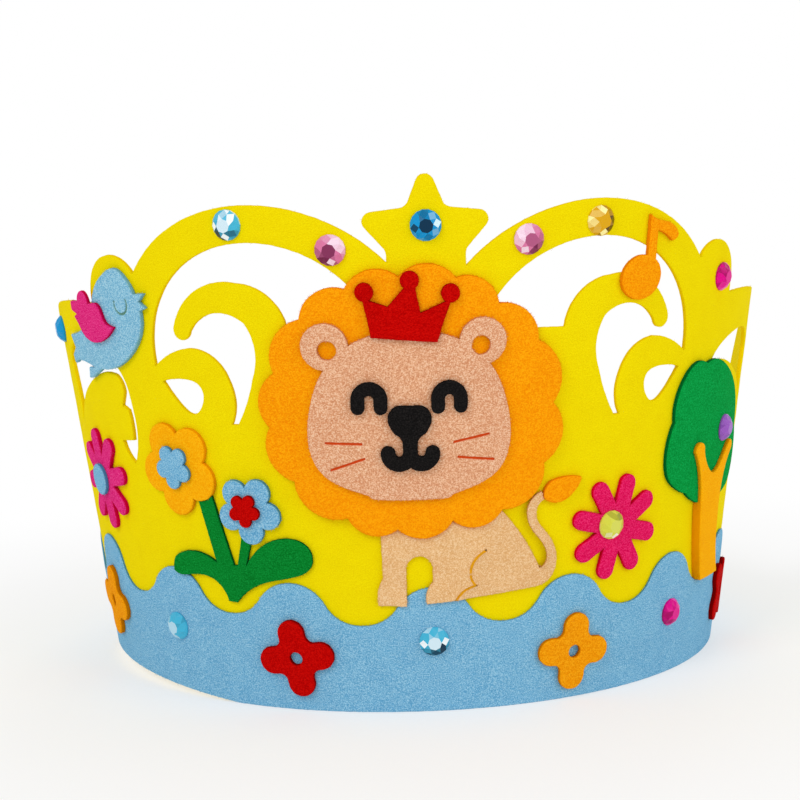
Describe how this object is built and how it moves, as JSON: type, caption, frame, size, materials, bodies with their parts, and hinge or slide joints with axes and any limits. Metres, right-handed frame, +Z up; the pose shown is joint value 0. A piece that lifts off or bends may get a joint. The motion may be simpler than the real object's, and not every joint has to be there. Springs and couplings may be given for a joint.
{
  "type": "felt crown",
  "caption": "Open-topped felt dress-up crown with a star, arches and scrolls at the front, glued felt pictures, stick-on gems and a strap lapped at the back.",
  "frame": {"origin": "centre of the band's circle, on the plane the rim stands on", "axes": "+Z up the crown's axis from the rim, -Y towards the lion at the front, +X to the right seen from the front"},
  "size_m": [0.1998, 0.2035, 0.1335],
  "materials": {
    "yellow_felt": "stiff non-woven felt",
    "blue_felt": "non-woven felt",
    "orange_felt": "non-woven felt",
    "amber_felt": "non-woven felt",
    "peach_felt": "non-woven felt",
    "red_felt": "non-woven felt",
    "black_felt": "non-woven felt",
    "magenta_felt": "non-woven felt",
    "green_felt": "non-woven felt",
    "closure_tape": "hook-and-loop tape",
    "gem_blue": "faceted, foil-backed",
    "gem_aqua": "faceted, foil-backed",
    "gem_pink": "faceted, foil-backed",
    "gem_yellow": "faceted, foil-backed",
    "gem_magenta": "faceted, foil-backed",
    "gem_purple": "faceted, foil-backed"
  },
  "bodies": {
    "root": {"crown_band": "yellow_felt", "wave_strip": "blue_felt", "bird_body": "blue_felt", "blue_flower": "blue_felt", "orange_flower_centre": "blue_felt", "left_daisy_centre": "blue_felt", "lion_mane": "orange_felt", "lion_tail_tip": "amber_felt", "orange_flower": "amber_felt", "music_note": "amber_felt", "tree_trunk": "amber_felt", "rim_flower_right": "amber_felt", "rim_flower_far_left": "amber_felt", "lion_head": "peach_felt", "lion_body": "peach_felt", "lion_crown": "red_felt", "blue_flower_centre": "red_felt", "rim_flower_left": "red_felt", "rim_flower_far_right": "red_felt", "lion_left_eye": "black_felt", "lion_right_eye": "black_felt", "lion_muzzle": "black_felt", "bird_wing": "magenta_felt", "right_daisy": "magenta_felt", "left_daisy": "magenta_felt", "plant": "green_felt", "tree_foliage": "green_felt", "loop_patch": "closure_tape", "hook_patch": "closure_tape", "gem_star": "gem_blue", "gem_arch_left": "gem_aqua", "gem_rim": "gem_aqua", "gem_rim_left": "gem_aqua", "gem_side": "gem_aqua", "gem_arch_left_inner": "gem_pink", "gem_arch_right_inner": "gem_pink", "gem_arch_right": "gem_yellow", "gem_daisy": "gem_yellow", "gem_lobe": "gem_magenta", "gem_rim_right": "gem_magenta", "gem_tree": "gem_purple"}
  },
  "joints": []
}
